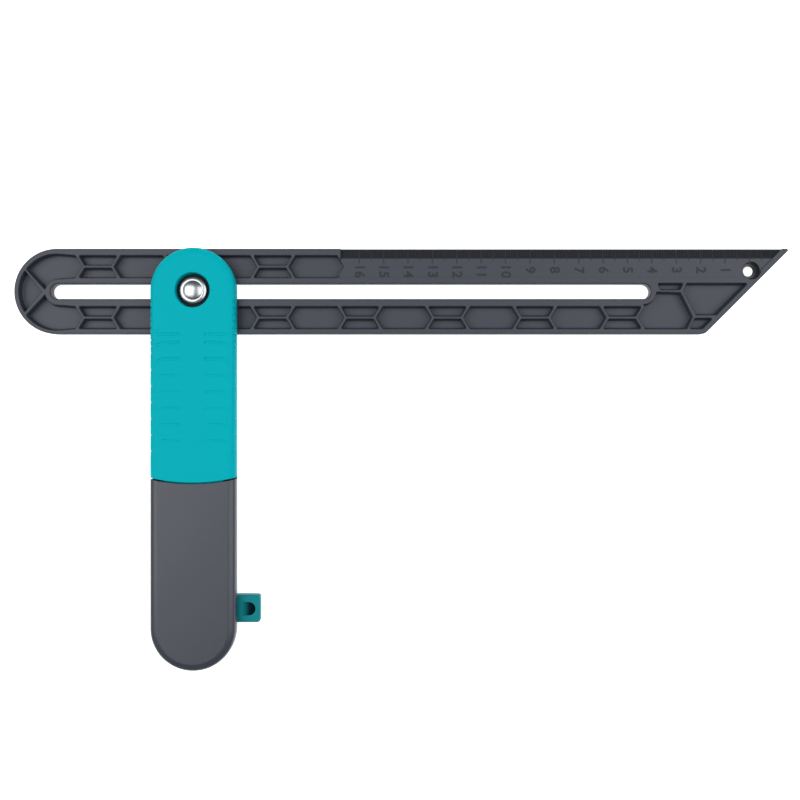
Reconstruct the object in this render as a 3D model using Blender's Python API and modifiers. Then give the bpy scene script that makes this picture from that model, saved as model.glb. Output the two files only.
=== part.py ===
"""A sliding bevel: a slotted, scaled plastic blade that turns and slides in a two-coloured stock.

The stock lies on its back. Its pivot axis is +Z through the origin, the back of the stock is z = 0,
the blade runs along X and the stock hangs down along -Y. Sizes below are in millimetres.
"""

import math

import bmesh
import bpy
from mathutils import Matrix

MM = 0.001
GAP = 0.3
WELD = 1e-6

# Layers of the stock, from its back to its front.
REAR_INNER = 6.0
FRONT_INNER = 12.4
STOCK_THICKNESS = 18.4
CORE_LOW = REAR_INNER + GAP
CORE_HIGH = FRONT_INNER - GAP
BLADE_LOW = 6.4
BLADE_HIGH = 12.0

# Outline of the stock, and the seam between its teal and grey halves.
STOCK_HALF_WIDTH = 17.35
STOCK_END_Y = -137.05
STOCK_RIM_RADIUS = 2.6
SIDE_LEAN = 0.16
CHEEK_END_RADIUS = 77.8
COVER_START_RADIUS = 78.5
CORE_START_RADIUS = 75.6

# Tongues that run from the cheeks under the covers.
TONGUE_HALF_WIDTH = 12.2
TONGUE_END_Y = -95.0
TONGUE_THICKNESS = 2.8

# Blade.
BLADE_HALF_WIDTH = 17.5
BLADE_TAIL_X = -56.7
BLADE_TIP_SUM = 226.3
SLANT_LAND = 3.2
SLOT_HALF_WIDTH = 3.1
SLOT_START_X = -56.2
SLOT_END_X = 183.6
SLOT_BOSS_RADIUS = 5.4
POCKET_FLOOR = 8.0
RAIL_INNER_Y = 5.9
RAIL_OUTER_Y = 15.0
RIB_Y = (RAIL_INNER_Y + RAIL_OUTER_Y) / 2
RIB_HALF = 0.6
POINT_DEPTH = 2.75
ROW_SHIFT_Y = -0.3
FIRST_POINT_X = -45.7
POINT_PERIOD = 35.8
POINT_TO_POINT = 11.7
UPPER_PERIODS = 3
LOWER_PERIODS = 6
SCALE_START_X = 61.5
SCALE_FLOOR = 11.2
SCALE_EDGE_Y = 13.5
SCALE_EDGE_DROP = 1.0
TIP_HOLE = (227.9, 8.7)
TIP_HOLE_FRONT_RADIUS = 3.3
TIP_HOLE_BACK_RADIUS = 2.0

# Pivot.
HEAD_RADIUS = 5.5
HEAD_LOW = 15.8
HEAD_HIGH = 17.9
DOME_RADIUS = 3.8
DOME_HEIGHT = 0.8
SHANK_RADIUS = 1.7
COUNTERBORE_RADIUS = 7.0
COUNTERBORE_FLOOR = 14.6
DISC_RADIUS = 9.0
GUIDE_HALF_LENGTH = 5.0
GUIDE_HALF_WIDTH = SLOT_HALF_WIDTH - GAP
SLEEVE_RADIUS = 3.2
NUT_RADIUS = 6.7
NUT_THICKNESS = 1.6

# Lock slide, bar and pin.
SLIDE_LOW_Y = -135.65
SLIDE_HIGH_Y = -124.35
SLIDE_INNER_X = -4.5
SLIDE_OUTER_X = 26.55
SLIDE_LOW = 6.6
SLIDE_HIGH = 11.8
SLIDE_TRAVEL = 9.0
BAR_RATIO = 0.25
BAR_HALF_WIDTH = 3.0
BAR_LOW = 3.2
BAR_HIGH = 4.7
BAR_END_Y = -134.2
PIN_RADIUS = 1.5
PIN_Y = -131.1
FORK_HALF_WIDTH = 6.8
FORK_START_Y = -9.5
FORK_END_Y = 3.5

# Case screws.
SCREW_PLACES = ((-7.0, -88.0), (7.0, -88.0), (-7.0, -145.0), (7.0, -145.0))
BOSS_RADIUS = 3.2
SCREW_SHANK_RADIUS = 1.5
SCREW_HEAD_RADIUS = 2.6

TEAL = (0.004, 0.440, 0.500, 1.0)
DARK_TEAL = (0.006, 0.230, 0.250, 1.0)
GREY = (0.082, 0.090, 0.115, 1.0)
BLADE_GREY = (0.090, 0.098, 0.120, 1.0)
STEEL = (0.520, 0.520, 0.530, 1.0)
BLACK_STEEL = (0.030, 0.031, 0.034, 1.0)
CHROME = (0.800, 0.810, 0.820, 1.0)
FIBRE = (0.180, 0.110, 0.060, 1.0)
NYLON = (0.700, 0.700, 0.660, 1.0)


def start_scene():
    """Empties the scene and makes one collection for the parts and one for the cutters."""
    for old in list(bpy.data.objects):
        bpy.data.objects.remove(old, do_unlink=True)
    collections = []
    for name in ("sliding_bevel", "cutters"):
        collection = bpy.data.collections.new(name)
        bpy.context.scene.collection.children.link(collection)
        collections.append(collection)
    return collections


PARTS, CUTTERS = start_scene()


def material(name, colour, roughness, metallic=0.0):
    """A Principled material in one colour."""
    made = bpy.data.materials.new(name)
    made.use_nodes = True
    shader = made.node_tree.nodes["Principled BSDF"]
    shader.inputs["Base Color"].default_value = colour
    shader.inputs["Roughness"].default_value = roughness
    shader.inputs["Metallic"].default_value = metallic
    return made


def finish(solid, colour, roughness, metallic=0.0):
    """Files a solid as a part, gives it its own material and shades its round faces smooth."""
    PARTS.objects.link(solid)
    solid.data.materials.clear()
    solid.data.materials.append(material(solid.name, colour, roughness, metallic))
    solid.data.shade_smooth()
    solid.data.set_sharp_from_angle(angle=math.radians(35))
    return solid


def arc(centre, radius, start, end, steps):
    """Points along an arc, in degrees, both ends included."""
    points = []
    for step in range(steps + 1):
        angle = math.radians(start + (end - start) * step / steps)
        points.append((centre[0] + radius * math.cos(angle), centre[1] + radius * math.sin(angle)))
    return points


def circle(centre, radius, steps=32):
    """A closed round outline."""
    return arc(centre, radius, 0, 360, steps)[:-1]


def rectangle(low_x, low_y, high_x, high_y):
    """A closed four-cornered outline."""
    return [(low_x, low_y), (high_x, low_y), (high_x, high_y), (low_x, high_y)]


def stadium(start, end, radius, steps=12):
    """The outline of a round-ended slot between two points."""
    along = math.degrees(math.atan2(end[1] - start[1], end[0] - start[0]))
    return arc(end, radius, along - 90, along + 90, steps) + arc(start, radius, along + 90, along + 270, steps)


def flat_solid(name, outlines, low, high):
    """A plate between two heights; an outline inside another one is a hole in it."""
    curve = bpy.data.curves.new(name, "CURVE")
    curve.dimensions = "2D"
    curve.fill_mode = "BOTH"
    curve.extrude = (high - low) / 2 * MM
    for outline in outlines:
        spline = curve.splines.new("POLY")
        spline.points.add(len(outline) - 1)
        for point, (x, y) in zip(spline.points, outline):
            point.co = (x * MM, y * MM, 0.0, 1.0)
        spline.use_cyclic_u = True
    drawn = bpy.data.objects.new(name + "_outline", curve)
    drawn.location.z = (low + high) / 2 * MM
    bpy.context.scene.collection.objects.link(drawn)
    bpy.context.view_layer.update()
    evaluated = drawn.evaluated_get(bpy.context.evaluated_depsgraph_get())
    mesh = bpy.data.meshes.new_from_object(evaluated)
    mesh.name = name
    working = bmesh.new()
    working.from_mesh(mesh)
    bmesh.ops.remove_doubles(working, verts=working.verts, dist=WELD)
    if len(outlines) == 1:
        edges = working.edges
        bmesh.ops.dissolve_limit(working, angle_limit=math.radians(1), verts=working.verts, edges=edges)
    bmesh.ops.recalc_face_normals(working, faces=working.faces)
    working.to_mesh(mesh)
    working.free()
    solid = bpy.data.objects.new(name, mesh)
    solid.matrix_world = drawn.matrix_world.copy()
    bpy.data.objects.remove(drawn)
    return solid


def solid_from(name, working):
    """Turns a bmesh into an object and frees it."""
    mesh = bpy.data.meshes.new(name)
    working.to_mesh(mesh)
    working.free()
    return bpy.data.objects.new(name, mesh)


def cylinder(name, centre, radius, low, high, top_radius=None, steps=32):
    """An upright round solid, tapered where its top radius is given."""
    working = bmesh.new()
    middle = (centre[0] * MM, centre[1] * MM, (low + high) / 2 * MM)
    bmesh.ops.create_cone(working, cap_ends=True, segments=steps, radius1=radius * MM,
                          radius2=(radius if top_radius is None else top_radius) * MM,
                          depth=(high - low) * MM, matrix=Matrix.Translation(middle))
    return solid_from(name, working)


def box(name, low, high, tilt=0.0):
    """A block between two corners, tilted about its own X axis by an angle in degrees."""
    working = bmesh.new()
    middle = Matrix.Translation([(a + b) / 2 * MM for a, b in zip(low, high)])
    size = Matrix.Diagonal([(b - a) * MM for a, b in zip(low, high)] + [1.0])
    bmesh.ops.create_cube(working, size=1.0, matrix=middle @ Matrix.Rotation(math.radians(tilt), 4, "X") @ size)
    return solid_from(name, working)


def turned(name, profile, steps=32):
    """A round solid about the pivot axis from a profile at +X, listed top to bottom."""
    working = bmesh.new()
    points = [working.verts.new((radius * MM, 0.0, height * MM)) for radius, height in profile]
    for first, second in zip(points, points[1:]):
        working.edges.new((first, second))
    if profile[0][0] > 0:
        working.edges.new((points[-1], points[0]))
    solid = solid_from(name, working)
    screw = solid.modifiers.new("turn", "SCREW")
    screw.axis = "Z"
    screw.steps = steps
    screw.render_steps = steps
    screw.use_merge_vertices = True
    screw.merge_threshold = 0.00001
    return solid


def boolean(solid, tool, operation):
    """Cuts a solid with a tool, or joins the tool to it."""
    CUTTERS.objects.link(tool)
    tool.hide_render = True
    tool.display_type = "WIRE"
    step = solid.modifiers.new(tool.name, "BOOLEAN")
    step.operation = operation
    step.object = tool
    step.solver = "EXACT"


def cut(solid, *tools):
    """Takes each tool away from the solid."""
    for tool in tools:
        boolean(solid, tool, "DIFFERENCE")


def join(solid, *tools):
    """Adds each tool to the solid."""
    for tool in tools:
        boolean(solid, tool, "UNION")


def round_rim(solid, height, radius, segments=3):
    """Rounds the edges of the solid that lie in the plane at a height."""
    working = bmesh.new()
    working.from_mesh(solid.data)
    weight = working.edges.layers.float.new("bevel_weight_edge")
    level = height * MM - solid.matrix_world.translation.z
    for edge in working.edges:
        if all(abs(vert.co.z - level) < WELD for vert in edge.verts):
            edge[weight] = 1.0
    working.to_mesh(solid.data)
    working.free()
    bevel = solid.modifiers.new("rim", "BEVEL")
    bevel.limit_method = "WEIGHT"
    bevel.width = radius * MM
    bevel.segments = segments


def stock_outline():
    """The long round-ended outline of the whole stock."""
    return stadium((0.0, STOCK_END_Y), (0.0, 0.0), STOCK_HALF_WIDTH, steps=20)


def stock_plate(name, low, high):
    """A layer of the stock. Below the front layer its sides lean in towards the back."""
    plate = flat_solid(name, [stock_outline()], low, high)
    base = plate.matrix_world.translation.z
    for vert in plate.data.vertices:
        below_front = max(0.0, FRONT_INNER * MM - base - vert.co.z)
        centre_y = min(max(vert.co.y, STOCK_END_Y * MM), 0.0)
        keep = 1.0 - SIDE_LEAN * below_front / (STOCK_HALF_WIDTH * MM)
        vert.co.x *= keep
        vert.co.y = centre_y + (vert.co.y - centre_y) * keep
    return plate


def beyond(name, radius):
    """A cutter for everything below an arc that is centred on the pivot."""
    reach = 30.0
    half_angle = math.degrees(math.asin(reach / radius))
    edge = arc((0.0, 0.0), radius, 270 - half_angle, 270 + half_angle, 12)
    return flat_solid(name, [edge + [(reach, -170.0), (-reach, -170.0)]], -5.0, 25.0)


def within(name, radius):
    """A cutter for everything above an arc that is centred on the pivot."""
    reach = 30.0
    half_angle = math.degrees(math.asin(reach / radius))
    edge = arc((0.0, 0.0), radius, 270 - half_angle, 270 + half_angle, 12)
    return flat_solid(name, [edge + [(reach, 30.0), (-reach, 30.0)]], -5.0, 25.0)


def tongue(name, low, high):
    """A tongue with a hole for each of the two bosses it hooks over."""
    holes = [circle(place, BOSS_RADIUS + GAP, 20) for place in SCREW_PLACES[:2]]
    slab = rectangle(-TONGUE_HALF_WIDTH, TONGUE_END_Y, TONGUE_HALF_WIDTH, -70.0)
    return flat_solid(name, [slab] + holes, low, high)


def tongue_pocket(name, low, high):
    """The room for a tongue inside a cover, with the two bosses left standing in it."""
    bosses = [circle(place, BOSS_RADIUS, 20) for place in SCREW_PLACES[:2]]
    side = TONGUE_HALF_WIDTH + GAP
    slab = rectangle(-side, TONGUE_END_Y - GAP, side, -70.0)
    return flat_solid(name, [slab] + bosses, low, high)


def front_cheek():
    """The teal front half of the upper stock, counterbored for the pivot screw."""
    cheek = stock_plate("front_cheek", FRONT_INNER, STOCK_THICKNESS)
    round_rim(cheek, STOCK_THICKNESS, STOCK_RIM_RADIUS)
    cut(cheek, beyond("front_cheek_end", CHEEK_END_RADIUS))
    join(cheek, tongue("front_tongue", FRONT_INNER, FRONT_INNER + TONGUE_THICKNESS))
    cut(cheek,
        cylinder("front_counterbore", (0, 0), COUNTERBORE_RADIUS, COUNTERBORE_FLOOR, STOCK_THICKNESS + 1),
        cylinder("front_bore", (0, 0), SHANK_RADIUS + GAP, FRONT_INNER - 1, COUNTERBORE_FLOOR + 1, steps=20),
        cylinder("front_disc_seat", (0, 0), DISC_RADIUS + GAP, FRONT_INNER - 1, FRONT_INNER + 1.0))
    finish(cheek, TEAL, 0.45)


def rear_cheek():
    """The teal rear half of the upper stock, hollowed for the nut, the fork and the clamp disc."""
    cheek = stock_plate("rear_cheek", 0.0, REAR_INNER)
    round_rim(cheek, 0.0, STOCK_RIM_RADIUS)
    cut(cheek, beyond("rear_cheek_end", CHEEK_END_RADIUS))
    join(cheek, tongue("rear_tongue", REAR_INNER - TONGUE_THICKNESS, REAR_INNER))
    groove_floor = BAR_LOW - GAP
    groove_half = BAR_HALF_WIDTH + GAP
    fork_half = FORK_HALF_WIDTH + 0.4
    cut(cheek,
        cylinder("nut_counterbore", (0, 0), COUNTERBORE_RADIUS, -1.0, groove_floor + 0.1),
        box("fork_room", (-fork_half, FORK_START_Y - 1.5, groove_floor), (fork_half, FORK_END_Y + 3.0, 5.0)),
        box("bar_groove", (-groove_half, -110.0, groove_floor), (groove_half, FORK_START_Y, 8.0)),
        cylinder("clamp_disc_seat", (0, 0), DISC_RADIUS + GAP, 4.9, REAR_INNER + 1.0))
    finish(cheek, TEAL, 0.45)


def front_cover():
    """The grey front half of the lower stock, hollow behind, with the bosses for the case screws."""
    cover = stock_plate("front_cover", FRONT_INNER, STOCK_THICKNESS)
    round_rim(cover, STOCK_THICKNESS, STOCK_RIM_RADIUS)
    below = FRONT_INNER - 1.0
    cut(cover,
        within("front_cover_start", COVER_START_RADIUS),
        tongue_pocket("front_tongue_pocket", below, FRONT_INNER + TONGUE_THICKNESS + GAP),
        box("front_hollow", (-13.2, -119.5, below), (13.2, -99.0, 16.4)))
    for number, place in enumerate(SCREW_PLACES, 1):
        cut(cover, cylinder(f"front_pilot_{number}", place, SCREW_SHANK_RADIUS + GAP, below, 17.0, steps=16))
    finish(cover, GREY, 0.5)


def rear_cover():
    """The grey rear half of the lower stock, with the groove that the lock bar runs in."""
    cover = stock_plate("rear_cover", 0.0, REAR_INNER)
    round_rim(cover, 0.0, STOCK_RIM_RADIUS)
    above = REAR_INNER + 1.0
    groove_half = BAR_HALF_WIDTH + GAP
    cut(cover,
        within("rear_cover_start", COVER_START_RADIUS),
        tongue_pocket("rear_tongue_pocket", REAR_INNER - TONGUE_THICKNESS - 0.2, above),
        box("rear_bar_groove", (-groove_half, BAR_END_Y - 1.0, BAR_LOW - GAP), (groove_half, -70.0, above)),
        box("rear_hollow_left", (-13.2, -119.5, 2.0), (-5.5, -99.0, above)),
        box("rear_hollow_right", (5.5, -119.5, 2.0), (13.2, -99.0, above)))
    for number, place in enumerate(SCREW_PLACES, 1):
        cut(cover,
            cylinder(f"rear_screw_seat_{number}", place, SCREW_HEAD_RADIUS + GAP, -1.0, 2.0, steps=24),
            cylinder(f"rear_screw_hole_{number}", place, SCREW_SHANK_RADIUS + GAP, 1.0, above, steps=16))
    finish(cover, GREY, 0.5)


def core():
    """The middle layer of the lower stock: it spaces the covers and guides the lock slide."""
    core_body = stock_plate("core", CORE_LOW, CORE_HIGH)
    below = CORE_LOW - 1.0
    above = CORE_HIGH + 1.0
    side = SLIDE_INNER_X - SLIDE_TRAVEL - GAP
    cut(core_body,
        within("core_start", CORE_START_RADIUS),
        box("slide_channel", (side, SLIDE_LOW_Y - GAP, below), (30.0, SLIDE_HIGH_Y + GAP, above)),
        box("spring_pocket", (-9.0, -139.7, below), (9.0, SLIDE_LOW_Y, above)),
        box("core_hollow", (-12.0, -119.0, below), (12.0, -99.0, above)))
    for number, place in enumerate(SCREW_PLACES, 1):
        cut(core_body, cylinder(f"core_hole_{number}", place, SCREW_SHANK_RADIUS + GAP, below, above, steps=16))
    finish(core_body, GREY, 0.5)


def pivot_screw():
    """The plain domed screw, with a step round its dome, that holds the stack together at the pivot."""
    dome = [(DOME_RADIUS * math.sin(math.radians(angle)) / math.sin(math.radians(50)),
             HEAD_HIGH - DOME_HEIGHT * (1 - math.cos(math.radians(angle))) / (1 - math.cos(math.radians(50))))
            for angle in range(0, 51, 10)]
    flange = [(DOME_RADIUS, HEAD_HIGH - DOME_HEIGHT - 0.2), (HEAD_RADIUS - 0.4, HEAD_LOW + 0.85),
              (HEAD_RADIUS, HEAD_LOW + 0.5), (HEAD_RADIUS, HEAD_LOW)]
    shank = [(SHANK_RADIUS, HEAD_LOW), (SHANK_RADIUS, 1.2), (0.0, 1.2)]
    finish(turned("pivot_screw", dome + flange + shank), CHROME, 0.15, 1.0)


def ring(name, radius, bore, low, high, colour, roughness, metallic=0.0):
    """A flat washer or disc on the pivot axis."""
    finish(turned(name, [(bore, high), (radius, high), (radius, low), (bore, low)]), colour, roughness, metallic)


def pivot_discs():
    """The spring washer under the head, the two friction discs and the thrust washer."""
    spring = [(SHANK_RADIUS + GAP, 15.5), (3.0, 15.5), (6.7, 15.3), (6.7, 14.9), (SHANK_RADIUS + GAP, 15.1)]
    finish(turned("spring_washer", spring), BLACK_STEEL, 0.6, 1.0)
    ring("front_friction_disc", DISC_RADIUS, SHANK_RADIUS + GAP, 12.3, 13.1, FIBRE, 0.8)
    ring("clamp_disc", DISC_RADIUS, SHANK_RADIUS + GAP, 5.3, 6.1, STEEL, 0.35, 1.0)
    ring("thrust_washer", NUT_RADIUS, SLEEVE_RADIUS + GAP, NUT_THICKNESS + GAP, 2.9, STEEL, 0.35, 1.0)


def pivot_nut():
    """The closed cap nut at the back, with two spanner holes, whose sleeve the fork straddles."""
    bore = SHANK_RADIUS + GAP
    profile = [(0.0, 0.9), (bore, 0.9), (bore, 4.9), (SLEEVE_RADIUS, 4.9), (SLEEVE_RADIUS, NUT_THICKNESS),
               (NUT_RADIUS, NUT_THICKNESS), (NUT_RADIUS, 0.3), (NUT_RADIUS - 0.3, 0.0), (0.0, 0.0)]
    nut = turned("pivot_nut", profile)
    for side in (-1, 1):
        cut(nut, cylinder(f"spanner_hole_{side}", (side * 4.6, 0.0), 0.8, -1.0, 1.1, steps=12))
    finish(nut, CHROME, 0.3, 1.0)


def slot_guide():
    """The round-ended block that turns on the pivot and slides in the blade's slot."""
    reach = GUIDE_HALF_LENGTH - GUIDE_HALF_WIDTH
    outline = stadium((-reach, 0.0), (reach, 0.0), GUIDE_HALF_WIDTH)
    guide = flat_solid("slot_guide", [outline], BLADE_LOW + 0.1, BLADE_HIGH - 0.1)
    cut(guide, cylinder("guide_bore", (0, 0), SHANK_RADIUS + GAP, BLADE_LOW - 1, BLADE_HIGH + 1, steps=24))
    finish(guide, NYLON, 0.5)


def point_cells(side):
    """The pockets of one row of ribs: long six-sided ones with a pair of short ones between them."""
    periods = UPPER_PERIODS if side > 0 else LOWER_PERIODS
    slant = RIB_HALF / math.cos(math.atan2(POINT_DEPTH, RIB_Y - RAIL_INNER_Y))
    cells = []
    for period in range(periods + 1):
        point = FIRST_POINT_X + period * POINT_PERIOD
        far_point = point + POINT_TO_POINT
        left, right = point + slant, far_point - slant
        if period < periods or side < 0:
            for edge_y, step in ((RAIL_OUTER_Y, RIB_HALF), (RAIL_INNER_Y, -RIB_HALF)):
                lean = POINT_DEPTH * abs(step) / (RIB_Y - RAIL_INNER_Y)
                cells.append([(left - lean, RIB_Y + step), (right + lean, RIB_Y + step),
                              (right + POINT_DEPTH, edge_y), (left - POINT_DEPTH, edge_y)])
        if period < periods:
            start, end = far_point + slant, point + POINT_PERIOD - slant
            cells.append([(start + POINT_DEPTH, RAIL_INNER_Y), (end - POINT_DEPTH, RAIL_INNER_Y), (end, RIB_Y),
                          (end - POINT_DEPTH, RAIL_OUTER_Y), (start + POINT_DEPTH, RAIL_OUTER_Y), (start, RIB_Y)])
    return [[(x, side * y + ROW_SHIFT_Y) for x, y in cell] for cell in cells]


def tail_cells():
    """The pockets round the tail end: one above, one below and one behind the slot."""
    point = FIRST_POINT_X - 0.7
    centre = (BLADE_TAIL_X, 0.0)
    outer = BLADE_HALF_WIDTH - 1.9
    boss = (SLOT_START_X, 0.0)
    upper = [(point - POINT_DEPTH, RAIL_INNER_Y), (point, RIB_Y), (point - POINT_DEPTH, RAIL_OUTER_Y)]
    upper += arc(centre, outer, 90, 143, 6)
    upper += arc(boss, SLOT_BOSS_RADIUS, 168, 90, 5)
    lower = [(x, ROW_SHIFT_Y - y) for x, y in upper]
    upper = [(x, ROW_SHIFT_Y + y) for x, y in upper]
    behind = arc(centre, outer, 147, 213, 8) + [(BLADE_TAIL_X - 6.3, -0.1)]
    return [upper, lower, behind]


def nose_cells():
    """The four unlike pockets between the slot and the slanted end."""
    inner_sum = BLADE_TIP_SUM - SLANT_LAND
    last_point = FIRST_POINT_X + LOWER_PERIODS * POINT_PERIOD + POINT_TO_POINT + 0.7
    boss = arc((SLOT_END_X, 0.0), SLOT_BOSS_RADIUS, 270, 357, 5)
    top_y = SLOT_HALF_WIDTH + 0.2
    above_rib = [(190.5, 0.7), (198.6, 0.7), (200.0, top_y), (189.5, top_y)]
    low_y = ROW_SHIFT_Y - RAIL_OUTER_Y
    big = [(last_point, ROW_SHIFT_Y - RIB_Y), (last_point + POINT_DEPTH, ROW_SHIFT_Y - RAIL_INNER_Y)] + boss
    big += [(198.9, -0.6), (203.8, -10.4), (201.4, low_y), (last_point + POINT_DEPTH, low_y)]
    right = [(201.4, top_y), (inner_sum + top_y, top_y), (inner_sum - 9.6, -9.6), (205.1, -9.6), (200.0, 0.2)]
    bottom = [(204.7, -11.0), (inner_sum - 11.0, -11.0), (inner_sum + low_y, low_y), (202.5, low_y)]
    return [above_rib, big, right, bottom]


def blade_outline():
    """Round at the tail and cut at 45 degrees at the tip, with both corners eased."""
    top_x = BLADE_TIP_SUM + BLADE_HALF_WIDTH
    low_x = BLADE_TIP_SUM - BLADE_HALF_WIDTH
    tip_radius, heel_radius = 0.6, 4.0
    tip_back = tip_radius / math.tan(math.radians(22.5))
    heel_back = heel_radius / math.tan(math.radians(67.5))
    tail = arc((BLADE_TAIL_X, 0.0), BLADE_HALF_WIDTH, 90, 270, 32)
    heel = arc((low_x - heel_back, heel_radius - BLADE_HALF_WIDTH), heel_radius, 270, 315, 4)
    tip = arc((top_x - tip_back, BLADE_HALF_WIDTH - tip_radius), tip_radius, -45, 90, 6)
    return tail + heel + tip


def blade():
    """The slotted blade: ribbed pockets in its front, a scale edge and a hanging hole at its tip."""
    body = flat_solid("blade", [blade_outline()], BLADE_LOW, BLADE_HIGH)
    above = BLADE_HIGH + 1.0
    pockets = point_cells(1) + point_cells(-1) + tail_cells() + nose_cells()
    edge_sum = BLADE_TIP_SUM - SLANT_LAND
    low_y = RAIL_INNER_Y + ROW_SHIFT_Y
    floor = [(SCALE_START_X - POINT_DEPTH, low_y), (edge_sum + low_y, low_y), (edge_sum + 20.0, 20.0),
             (SCALE_START_X, 20.0), (SCALE_START_X, RIB_Y + ROW_SHIFT_Y)]
    slope = math.degrees(math.atan2(SCALE_EDGE_DROP, BLADE_HALF_WIDTH - SCALE_EDGE_Y))
    middle_y = (SCALE_EDGE_Y + BLADE_HALF_WIDTH) / 2 + 1.5 * math.sin(math.radians(slope))
    middle_z = SCALE_FLOOR - SCALE_EDGE_DROP / 2 + 1.5 * math.cos(math.radians(slope))
    cut(body,
        flat_solid("pockets", pockets, POCKET_FLOOR, above),
        flat_solid("slot", [stadium((SLOT_START_X, 0.0), (SLOT_END_X, 0.0), SLOT_HALF_WIDTH)],
                   BLADE_LOW - 1.0, above),
        flat_solid("scale_floor", [floor], SCALE_FLOOR, above),
        box("scale_slope", (SCALE_START_X, middle_y - 6.0, middle_z - 1.5),
            (edge_sum + SCALE_EDGE_Y, middle_y + 6.0, middle_z + 1.5), tilt=-slope),
        cylinder("tip_hole", TIP_HOLE, TIP_HOLE_BACK_RADIUS, BLADE_LOW - 0.1, BLADE_HIGH + 0.1,
                 top_radius=TIP_HOLE_FRONT_RADIUS))
    finish(body, BLADE_GREY, 0.5)


def lock_slide():
    """The cross slide that locks the pivot: a cam slot inside, a nail scoop on the tab outside."""
    outline = rectangle(SLIDE_INNER_X, SLIDE_LOW_Y, SLIDE_OUTER_X, SLIDE_HIGH_Y)
    slide = flat_solid("lock_slide", [outline], SLIDE_LOW, SLIDE_HIGH)
    bevel = slide.modifiers.new("edge", "BEVEL")
    bevel.width = 0.8 * MM
    bevel.segments = 2
    rise = SLIDE_TRAVEL * BAR_RATIO
    below = SLIDE_LOW - 1.0
    above = SLIDE_HIGH + 1.0
    cam = stadium((0.0, PIN_Y), (SLIDE_TRAVEL, PIN_Y + rise), PIN_RADIUS + GAP)
    scoop = [(18.8, -132.7)] + arc((22.0, -130.0), 2.7, -90, 90, 10) + [(18.8, -127.3)]
    cut(slide,
        flat_solid("cam_slot", [cam], below, above),
        flat_solid("nail_scoop", [scoop], 8.2, above))
    for number, place in enumerate((0.0, SLIDE_TRAVEL), 1):
        notch = [(place - 0.8, SLIDE_LOW_Y - 1.0), (place + 0.8, SLIDE_LOW_Y - 1.0), (place, SLIDE_LOW_Y + 0.7)]
        cut(slide, flat_solid(f"detent_notch_{number}", [notch], below, above))
    finish(slide, DARK_TEAL, 0.45)


def lock_bar():
    """The flat steel bar whose forked, wedge-shaped end straddles the nut and clamps the blade."""
    inner = SLEEVE_RADIUS + GAP
    fork_root = -6.5
    outline = [(-BAR_HALF_WIDTH, BAR_END_Y), (BAR_HALF_WIDTH, BAR_END_Y), (BAR_HALF_WIDTH, FORK_START_Y - 1.0),
               (FORK_HALF_WIDTH, FORK_START_Y + 2.0), (FORK_HALF_WIDTH, FORK_END_Y), (inner, FORK_END_Y),
               (inner, fork_root), (-inner, fork_root), (-inner, FORK_END_Y), (-FORK_HALF_WIDTH, FORK_END_Y),
               (-FORK_HALF_WIDTH, FORK_START_Y + 2.0), (-BAR_HALF_WIDTH, FORK_START_Y - 1.0)]
    bar = flat_solid("lock_bar", [outline], BAR_LOW, BAR_HIGH)
    cut(bar,
        cylinder("pin_hole", (0.0, PIN_Y), PIN_RADIUS + GAP, BAR_LOW - 1, BAR_HIGH + 1, steps=24),
        box("fork_wedge", (-9.0, -7.0, BAR_HIGH - 0.45), (9.0, 7.0, BAR_HIGH + 1.55), tilt=-4.0))
    finish(bar, STEEL, 0.35, 1.0)


def follower_pin():
    """The pin that ties the lock bar to the cam slot in the slide."""
    finish(cylinder("follower_pin", (0.0, PIN_Y), PIN_RADIUS, BAR_LOW, 11.5, steps=24), STEEL, 0.25, 1.0)


def detent_spring():
    """The bent leaf that clicks into the slide's notches, lying in its pocket."""
    half = 0.25
    crest = [(-8.0, -139.0), (-3.2, -139.0), (-0.8, -136.6), (0.8, -136.6), (3.2, -139.0), (8.0, -139.0)]
    outline = [(x, y - half) for x, y in crest] + [(x, y + half) for x, y in reversed(crest)]
    finish(flat_solid("detent_spring", [outline], 7.0, 11.4), STEEL, 0.3, 1.0)


def case_screws():
    """Four screws from the back, through both layers, into the front cover."""
    for number, (x, y) in enumerate(SCREW_PLACES, 1):
        profile = [(0.0, 16.7), (SCREW_SHANK_RADIUS, 16.7), (SCREW_SHANK_RADIUS, 1.6), (SCREW_HEAD_RADIUS, 1.6),
                   (SCREW_HEAD_RADIUS, 0.8), (SCREW_HEAD_RADIUS - 0.5, 0.4), (1.1, 0.4), (1.1, 1.0), (0.0, 1.0)]
        screw = turned(f"case_screw_{number}", profile, steps=16)
        screw.location = (x * MM, y * MM, 0.0)
        finish(screw, STEEL, 0.3, 1.0)


for build in (front_cheek, rear_cheek, front_cover, rear_cover, core, pivot_screw, pivot_discs, pivot_nut,
              slot_guide, blade, lock_slide, lock_bar, follower_pin, detent_spring, case_screws):
    build()
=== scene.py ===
import math

import bmesh
import bpy
from mathutils import Matrix, Vector, geometry


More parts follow.
